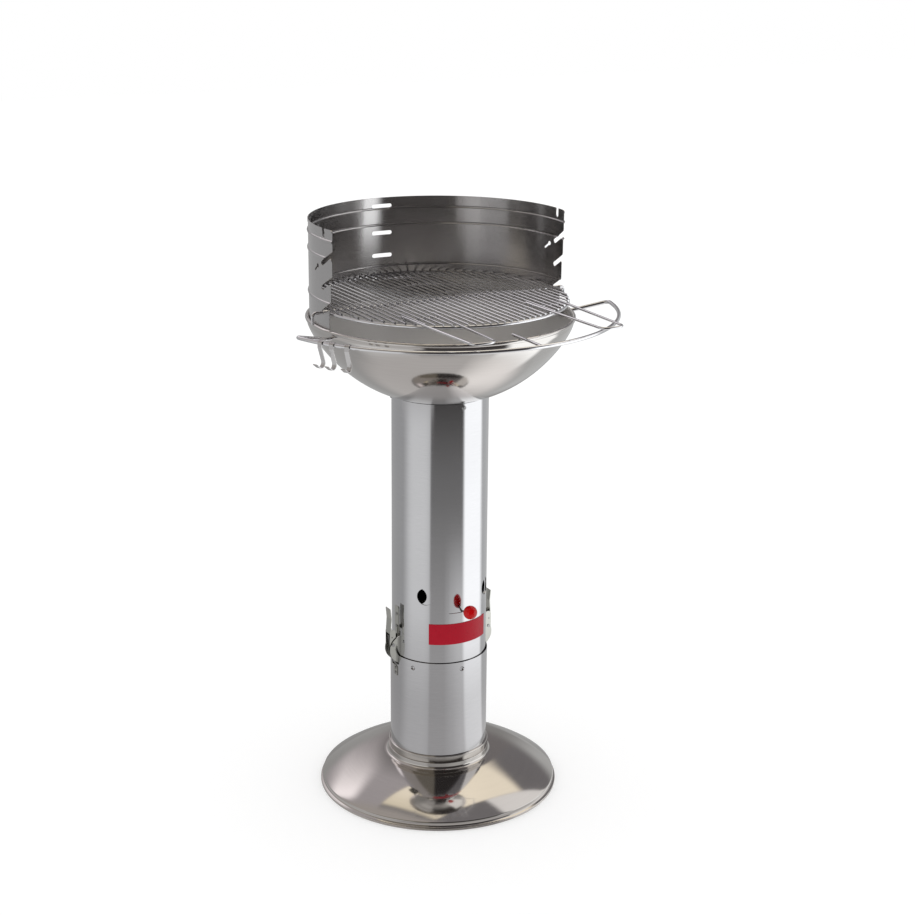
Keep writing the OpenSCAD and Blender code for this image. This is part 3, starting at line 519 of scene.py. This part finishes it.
def foot_outline():
    """The rolled foot: two beads outside, rounded corners inside."""
    outer = base_radius - FOOT_BEAD
    inner = base_radius - FOOT_WIDTH + FOOT_ROUND
    return (arc((outer, FOOT_HEIGHT - FOOT_BEAD), FOOT_BEAD, 90, -BEAD_MEET, FOOT_STEPS)
            + arc((outer, FOOT_BEAD), FOOT_BEAD, BEAD_MEET, -90, FOOT_STEPS)
            + arc((inner, FOOT_ROUND), FOOT_ROUND, -90, -180, FOOT_STEPS)
            + arc((inner, FOOT_HEIGHT - FOOT_ROUND), FOOT_ROUND, 180, 90, FOOT_STEPS))


def base_outline():
    """The sheet from the axis out to the foot and back underneath."""
    curve = dome_line()
    flat = [(collar_radius - FLAT_RUN, stand_height), (collar_radius, stand_height)]
    neck = rounded_corners([*flat, curve[0], curve[NECK_POINTS - 1]], [FLAT_ROUND, NECK_ROUND])
    slope = curve[NECK_POINTS:-SKIRT_POINTS]
    groove = [(foot_mid, GROOVE_HEIGHT + GROOVE_DEPTH), (foot_mid - GROOVE_DEPTH, GROOVE_HEIGHT),
              (foot_mid, GROOVE_HEIGHT - GROOVE_DEPTH)]
    skirt = rounded_corners([curve[-SKIRT_POINTS], curve[-1], *groove, (foot_mid, FOOT_HEIGHT)],
                            [SKIRT_ROUND, GROOVE_ROUND, 0, GROOVE_ROUND])
    top = apart([Vector((0, stand_height))] + neck + slope + skirt[1:-1], OUTLINE_GAP)
    under = [Vector((0, stand_height - BASE_WALL))] + offset_line(neck + slope, -BASE_WALL)
    under.append(Vector((foot_mid - GROOVE_DEPTH - BASE_WALL, GROOVE_HEIGHT)))
    return top + foot_outline() + under[::-1]


dome = revolve("base_dome", base_outline(), "steel_base", "stand")
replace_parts(dome, "base_plate")


# Bowl, in millimetres

BOWL_RADIUS = 243
BOWL_LOW = 768.6
BOWL_DEPTH = 149.4
BOWL_WALL = 1
BOWL_STEPS = 96
# Powers of the bowl's curve: with 1 for both it would be an ellipse, and these make its wall straighter
CURVE_POWER = 1.6
CURVE_ROOT = 1 / 0.9
# Wired rim: its radius, how far its centre lies over the end of the curve and outside the wall
ROLL_RADIUS = 3.5
ROLL_RISE = 9.3
ROLL_OUT = 0.3
ROLL_STEPS = 40
# Ash opening: its radius, the depth of its lip, the lip's fillet and how many curve points that takes
ASH_RADIUS = 74
ASH_LIP = 6
ASH_ROUND = 1.5
ASH_POINTS = 4

bowl_top = BOWL_LOW + BOWL_DEPTH
roll_height = bowl_top + ROLL_RISE


def bowl_height(r):
    """Height of the bowl's outside at a radius."""
    level = max(0.0, 1 - (r / BOWL_RADIUS) ** 2) ** (CURVE_POWER / 2)
    return BOWL_LOW + BOWL_DEPTH * (1 - level) ** CURVE_ROOT


def bowl_outline():
    """The outside from the ash opening up, round the wired rim, and down the inside."""
    first = math.asin(ASH_RADIUS / BOWL_RADIUS)
    turns = [first + (math.pi / 2 - first) * i / BOWL_STEPS for i in range(BOWL_STEPS + 1)]
    curve = [Vector((BOWL_RADIUS * math.sin(t), bowl_height(BOWL_RADIUS * math.sin(t)))) for t in turns]
    lip = Vector((ASH_RADIUS, bowl_height(ASH_RADIUS) - ASH_LIP))
    top = Vector((BOWL_RADIUS, roll_height - ROLL_RADIUS))
    lip_line = rounded_corners([lip, curve[0], curve[ASH_POINTS]], [ASH_ROUND])
    outer = lip_line[:-1] + curve[ASH_POINTS + 1:] + [top]
    inner = offset_line(outer, BOWL_WALL)
    start = math.degrees(math.acos(-ROLL_OUT / ROLL_RADIUS))
    end = math.degrees(math.acos((-ROLL_OUT - BOWL_WALL) / ROLL_RADIUS))
    roll = arc((BOWL_RADIUS + ROLL_OUT, roll_height), ROLL_RADIUS, -start, 360 - end, ROLL_STEPS)
    return outer[:-1] + roll + inner[:-1][::-1]


bowl = revolve("bowl_spun", bowl_outline(), "steel_bowl", "stand")
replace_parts(bowl, "bowl")


# Handles and rail, in millimetres

# Handle: how wide its outer end is, and the radius of its bends
HANDLE_END_WIDTH = 44
HANDLE_BEND = 14
# Rail: the wire's radius, its reach out of the bowl, how far its centre lies behind the axis,
# and half of its arc in degrees
RAIL_WIRE = 3.5
RAIL_REACH = 85
RAIL_SHIFT = 6.6
RAIL_HALF = 73
RAIL_STEPS = 96
RAIL_SIDES = 24
# Leg: its straight run past the arc and the radius of its bends
RAIL_CORNER_RUN = 20
RAIL_BEND = 12
# Leg's end: how far it lies in front of the axis and under the curve's end, and its runs outside and
# inside the wall
LEG_Y = 40
LEG_DROP = 1
LEG_OUT = 11
LEG_IN = 12

_, rail_high = box_mm("front_rail")
rail_height = rail_high.z - RAIL_WIRE
rail_radius = BOWL_RADIUS + RAIL_REACH


def handle(name, node):
    """A bent wire with two legs, in the box of the node that it stands for."""
    low, high = box_mm(node)
    radius = (high.z - low.z) / 2
    z = low.z + radius
    inner_y, outer_y = high.y, low.y + radius
    middle, root = (low.x + high.x) / 2, (high.x - low.x) / 2 - radius
    end = HANDLE_END_WIDTH / 2
    line = [(middle - root, inner_y, z), (middle - end, outer_y, z), (middle + end, outer_y, z),
            (middle + root, inner_y, z)]
    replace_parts(wire(name, line, radius, HANDLE_BEND, "chrome_wire", "grid"), node)


def rail_point(turn):
    """A point of the rail's arc, at a turn in radians from its middle."""
    return Vector((rail_radius * math.sin(turn), RAIL_SHIFT - rail_radius * math.cos(turn), rail_height))


def rail_leg():
    """From the right end of the arc down to the hole in the bowl's wall."""
    turn = math.radians(RAIL_HALF)
    end = rail_point(turn)
    corner = end + RAIL_CORNER_RUN * Vector((math.cos(turn), math.sin(turn), 0))
    wall = math.sqrt(BOWL_RADIUS ** 2 - LEG_Y ** 2)
    outside = Vector((wall + LEG_OUT, -LEG_Y, bowl_top - LEG_DROP))
    inside = Vector((wall - LEG_IN, -LEG_Y, bowl_top - LEG_DROP))
    return rounded_corners([end, corner, outside, inside], [RAIL_BEND, RAIL_BEND], BEND_STEPS)


def make_rail():
    """The front arc with a leg at each end, as one wire."""
    right_leg = rail_leg()
    left_leg = [Vector((-p.x, p.y, p.z)) for p in right_leg[::-1]]
    front_arc = [rail_point(math.radians(RAIL_HALF) * (2 * i / RAIL_STEPS - 1)) for i in range(1, RAIL_STEPS)]
    line = left_leg + front_arc + right_leg
    rail = wire("rail_wire", line, RAIL_WIRE, 0, "chrome_wire", "stand", RAIL_SIDES)
    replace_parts(rail, "front_rail")


handle("handle_wire_left", "grid_handle_left")
handle("handle_wire_right", "grid_handle_right")
make_rail()


# Studio

# A panel round the grill: its middle, half of its width and the softness of its edges, in degrees, and its
# light. Azimuths are counted from the camera's side, positive to the right of the picture.
Panel = namedtuple("Panel", "centre half soft light")
BEHIND = Panel(180, 50, 12, grey(0.30, 0.02))
BACK_LEFT = Panel(-130, 45, 8, grey(0.43))
BACK_RIGHT = Panel(138, 26, 8, grey(0.58, -0.01))
LEFT = Panel(-57, 36, 2.5, grey(0.82))
FAR_LEFT = Panel(-57, 43, 3, grey(0.54, 0.02))
RIGHT = Panel(87, 28, 5, grey(1.52, -0.01))
FRONT_LIGHT = grey(0.06, 0.12)

# The left panel is brightest at this azimuth and falls off to its edge light. A fade towards an azimuth
# is two cosines of the angle to it: where it starts and where it is full.
LEFT_PEAK = -50
LEFT_FADE = (0.73, 0.99)
LEFT_EDGE_LIGHT = grey(0.48)

# The room's radius in metres, and the heights of a direction between which its sides turn into its sky
ROOM_RADIUS = 20.0
SKY_RISE = (0.15, 0.35)

# The sky on the plan: right of the picture and towards the camera. The panel overhead is a rectangle
# with its corner at SKY_CORNER, and sky places are counted along and across it.
SKY_CORNER = (-0.428, -0.214)
SKY_ALONG = (0.639, -0.769, 0)
SKY_ACROSS = (0.732, 0.682, 0)
# Edges of the sky's areas, each with its softness. The near area is the one on the camera's side.
OVERHEAD_ALONG = dict(low=-0.01, high=0.83, soft=0.035)
OVERHEAD_ACROSS = dict(low=0.0, high=0.54, soft=0.012)
STRIP_ALONG = dict(place=0.0, soft=0.06)
STRIP_ACROSS = dict(low=-0.44, high=-0.24, soft=0.05)
MIDDLE_ACROSS = dict(place=0.0, soft=0.015)
CEILING_ALONG = dict(place=-0.06, soft=0.08)
HIGH_RIGHT_ALONG = dict(place=0.53, soft=0.03)
HIGH_RIGHT_ACROSS = dict(place=0.54, soft=0.02)
NEAR_EDGE = dict(place=0.28, soft=0.06)
NEAR_RIGHT_EDGE = dict(place=-0.12, soft=0.03)
# Light of the sky's areas. Two lights change from the first to the second along their fade.
OVERHEAD_LIGHTS = (rgba((1.00, 0.90, 0.71)), rgba((1.31, 1.19, 0.99)))
OVERHEAD_FADE = (0.0, 0.35)
LEFT_LIGHTS = (rgba((0.50, 0.47, 0.49)), rgba((0.24, 0.225, 0.23)))
LEFT_SKY_FADE = (0.45, 0.75)
STRIP_LIGHTS = (rgba((1.45, 1.37, 1.41)), rgba((0.30, 0.28, 0.29)))
STRIP_FADE = (0.10, 0.80)
MIDDLE_LIGHT = rgba((0.235, 0.225, 0.235))
CEILING_LIGHT = rgba((0.50, 0.465, 0.445))
HIGH_RIGHT_LIGHT = grey(1.06, 0.02)
NEAR_LIGHTS = (rgba((0.26, 0.235, 0.20)), rgba((0.05, 0.045, 0.045)))

# Floor: half its side and its depth under the foot, in metres
FLOOR_HALF = 12.0
FLOOR_DROP = 0.0003
# The paper's colour, and the light that it gives by itself
PAPER = grey(0.80)
PAPER_LIFT = grey(0.26)
# Painted light: a glow of the lit paper near the grill as steel mirrors it from above, brightest at this
# azimuth
PAINTED_PAPER_LIGHT = grey(1.0, 0.03)
PAPER_PEAK = 98
PAPER_FADE = (0.40, 1.05)
PAPER_LEVELS = (0.57, 1.12)
# Painted sheen at a low angle, a glow of the panels' light: spans are distances in metres between which it
# changes
PAINTED_SHEEN_SPAN = (0.50, 1.05)
PAINTED_SHEEN_SHARES = (0.52, 1.0)
PAINTED_SHEEN_NEAR_LIGHT = grey(0.26, 0.02)
FRONT_SPAN = (0.7, 1.9)
FRONT_LIGHTS = (grey(0.45, 0.02), grey(0.21, 0.02))
FRONT_FAR_SPAN = (1.9, 3.2)
FRONT_FAR_LIGHT = grey(0.055, 0.08)
RIGHT_END = 57
RIGHT_END_FADE = (0.70, 0.99)
RIGHT_END_SPAN = (0.9, 1.6)
RIGHT_END_LIGHT = grey(0.80)
FAR_LEFT_START = dict(place=2.9, soft=0.3)
# The painted sheen takes over from the painted lit paper along this span of Facing and along this span of
# distance
LOW_ANGLE = (0.40, 0.66)
LOW_DISTANCE = (0.50, 0.95)


def studio_direction(azimuth):
    """Unit vector on the plan, counted from the camera's side, positive to the right of the picture."""
    a = math.radians(CAMERA_AZIMUTH)
    to_camera = Vector((math.sin(a), -math.cos(a), 0))
    to_right = Vector((math.cos(a), math.sin(a), 0))
    t = math.radians(azimuth)
    return tuple(to_camera * math.cos(t) + to_right * math.sin(t))


def window(g, flat, panel):
    """1 where a direction on the plan meets the panel, 0 outside it."""
    c = g.vector("DOT_PRODUCT", flat, studio_direction(panel.centre))
    low = math.cos(math.radians(panel.half + panel.soft))
    high = math.cos(math.radians(panel.half - panel.soft))
    return g.remap(c, low, high, smooth=True)


def step(g, value, place, soft):
    """0 below place and 1 above it."""
    return g.remap(value, place - soft, place + soft, smooth=True)


def band(g, value, low, high, soft):
    """1 between low and high."""
    return g.math("MULTIPLY", step(g, value, low, soft), g.math("SUBTRACT", 1.0, step(g, value, high, soft)))


def studio_sides(g, flat, front):
    """What stands round the grill: front is the colour on the camera's side."""
    colour = front
    for panel in (BEHIND, BACK_LEFT, BACK_RIGHT):
        colour = g.mix(window(g, flat, panel), colour, panel.light)
    peak = g.vector("DOT_PRODUCT", flat, studio_direction(LEFT_PEAK))
    left = g.mix(g.remap(peak, *LEFT_FADE, smooth=True), LEFT_EDGE_LIGHT, LEFT.light)
    colour = g.mix(window(g, flat, LEFT), colour, left)
    return g.mix(window(g, flat, RIGHT), colour, RIGHT.light)


def sky(g, right, front):
    """The ceiling with its panels, as the colour over the plan of the sky."""
    place = g.join(g.math("SUBTRACT", right, SKY_CORNER[0]), g.math("SUBTRACT", front, SKY_CORNER[1]), 0.0)
    along = g.vector("DOT_PRODUCT", place, SKY_ALONG)
    across = g.vector("DOT_PRODUCT", place, SKY_ACROSS)

    left = g.mix(g.remap(along, *LEFT_SKY_FADE), *LEFT_LIGHTS)
    strip = g.math("MULTIPLY", band(g, across, **STRIP_ACROSS), step(g, along, **STRIP_ALONG))
    left = g.mix(strip, left, g.mix(g.remap(along, *STRIP_FADE), *STRIP_LIGHTS))
    colour = g.mix(step(g, across, **MIDDLE_ACROSS), left, MIDDLE_LIGHT)
    colour = g.mix(step(g, along, **CEILING_ALONG), CEILING_LIGHT, colour)

    high_right = g.math("MULTIPLY", step(g, along, **HIGH_RIGHT_ALONG), step(g, across, **HIGH_RIGHT_ACROSS))
    colour = g.mix(high_right, colour, HIGH_RIGHT_LIGHT)
    overhead = g.math("MULTIPLY", band(g, along, **OVERHEAD_ALONG), band(g, across, **OVERHEAD_ACROSS))
    colour = g.mix(overhead, colour, g.mix(g.remap(along, *OVERHEAD_FADE), *OVERHEAD_LIGHTS))

    near = g.mix(step(g, right, **NEAR_RIGHT_EDGE), *NEAR_LIGHTS)
    return g.mix(step(g, front, **NEAR_EDGE), colour, near)


def room_material():
    """What the steel mirrors above the floor: the panels round the grill and the panels overhead."""
    m, g = new_material("studio_room")
    direction = g.vector("NORMALIZE", g.object_point())
    _, _, up = g.split(direction)
    right = g.vector("DOT_PRODUCT", direction, studio_direction(90))
    front = g.vector("DOT_PRODUCT", direction, studio_direction(0))
    sides = studio_sides(g, g.flat_unit(direction), FRONT_LIGHT)
    g.surface(g.glow(g.mix(g.remap(up, *SKY_RISE, smooth=True), sides, sky(g, right, front))))
    m.cycles.emission_sampling = "NONE"
    return m


def make_room():
    """A ball round everything that only reflections see."""
    mesh = bpy.data.meshes.new("studio_room")
    b = bmesh.new()
    bmesh.ops.create_icosphere(b, subdivisions=3, radius=ROOM_RADIUS)
    b.to_mesh(mesh)
    b.free()
    room = bpy.data.objects.new("studio_room", mesh)
    room.data.materials.append(room_material())
    room.visible_camera = False
    room.visible_diffuse = False
    room.visible_shadow = False
    room.visible_volume_scatter = False
    bpy.context.scene.collection.objects.link(room)


def make_world():
    """Plain even white light on everything that isn't a mirror."""
    world = bpy.data.worlds.new("even_light")
    bpy.context.scene.world = world
    world.use_nodes = True
    world.node_tree.nodes["Background"].inputs["Color"].default_value = grey(1.0)
    world.cycles_visibility.glossy = False
    world.cycles_visibility.transmission = False


def painted_paper_light(g, flat):
    """Painted light: a glow of the lit paper round the grill as steel mirrors it from above."""
    side_light = g.vector("DOT_PRODUCT", flat, studio_direction(PAPER_PEAK))
    return g.dimmed(PAINTED_PAPER_LIGHT, g.remap(side_light, *PAPER_FADE, *PAPER_LEVELS))


def painted_floor_sheen(g, flat, distance):
    """Painted sheen: a glow of the panels' light on the paper as steel mirrors it at a low angle."""
    front = g.mix(g.remap(distance, *FRONT_SPAN), *FRONT_LIGHTS)
    front = g.mix(g.remap(distance, *FRONT_FAR_SPAN, smooth=True), front, FRONT_FAR_LIGHT)
    right_end = g.remap(g.vector("DOT_PRODUCT", flat, studio_direction(RIGHT_END)), *RIGHT_END_FADE)
    right_end = g.math("MULTIPLY", right_end, g.remap(distance, *RIGHT_END_SPAN, 1.0, 0.0))
    sides = studio_sides(g, flat, g.mix(right_end, front, RIGHT_END_LIGHT))
    far_left = g.math("MULTIPLY", window(g, flat, FAR_LEFT), step(g, distance, **FAR_LEFT_START))
    sides = g.mix(far_left, sides, FAR_LEFT.light)
    return g.mix(g.remap(distance, *PAINTED_SHEEN_SPAN, *PAINTED_SHEEN_SHARES), PAINTED_SHEEN_NEAR_LIGHT, sides)


def floor_material():
    """White paper whose slight sheen is painted: reflections see a glow of painted light, the lit paper near
    by and the panels' light.
    """
    m, g = new_material("paper")
    point = g.object_point()
    distance = g.vector("LENGTH", point)
    flat = g.flat_unit(point)
    facing = g.node("ShaderNodeLayerWeight").outputs["Facing"]
    low_angle = g.math("MAXIMUM", g.remap(facing, *LOW_ANGLE, smooth=True),
                       g.remap(distance, *LOW_DISTANCE, smooth=True))
    # Painted reflection: glossy rays see this glow in place of the paper's own reflection
    painted_reflection = g.glow(g.mix(low_angle, painted_paper_light(g, flat), painted_floor_sheen(g, flat, distance)))

    paper = g.node("ShaderNodeBsdfDiffuse")
    g.put(paper.inputs["Color"], PAPER)
    lit = g.node("ShaderNodeAddShader")
    g.put(lit.inputs[0], paper.outputs[0])
    g.put(lit.inputs[1], g.glow(PAPER_LIFT))
    choose = g.node("ShaderNodeMixShader")
    g.put(choose.inputs[0], g.node("ShaderNodeLightPath").outputs["Is Glossy Ray"])
    g.put(choose.inputs[1], lit.outputs[0])
    g.put(choose.inputs[2], painted_reflection)
    g.surface(choose.outputs[0])
    m.cycles.emission_sampling = "NONE"
    return m


def make_floor():
    """The sheet of paper that the grill stands on."""
    mesh = bpy.data.meshes.new("floor")
    corners = [(-1, -1), (1, -1), (1, 1), (-1, 1)]
    mesh.from_pydata([(x * FLOOR_HALF, y * FLOOR_HALF, -FLOOR_DROP) for x, y in corners], [], [(0, 1, 2, 3)])
    floor = bpy.data.objects.new("floor", mesh)
    floor.data.materials.append(floor_material())
    bpy.context.scene.collection.objects.link(floor)


def make_camera():
    """The camera at the place that was fitted to the photo."""
    forward = CAMERA_AIM.normalized()
    level = forward.cross(Vector((0, 0, 1))).normalized()
    upright = level.cross(forward)
    roll = math.radians(CAMERA_ROLL)
    right = level * math.cos(roll) + upright * math.sin(roll)
    up = upright * math.cos(roll) - level * math.sin(roll)
    data = bpy.data.cameras.new("camera")
    data.lens = CAMERA_LENS
    data.sensor_width = CAMERA_SENSOR
    data.clip_start = CAMERA_NEAR
    data.clip_end = CAMERA_FAR
    camera = bpy.data.objects.new("camera", data)
    camera.matrix_world = Matrix((
        (right.x, up.x, -forward.x, CAMERA_PLACE.x),
        (right.y, up.y, -forward.y, CAMERA_PLACE.y),
        (right.z, up.z, -forward.z, CAMERA_PLACE.z),
        (0, 0, 0, 1)))
    bpy.context.scene.collection.objects.link(camera)
    bpy.context.scene.camera = camera


make_world()
make_room()
make_floor()
make_camera()
bpy.context.scene.view_settings.view_transform = "Standard"
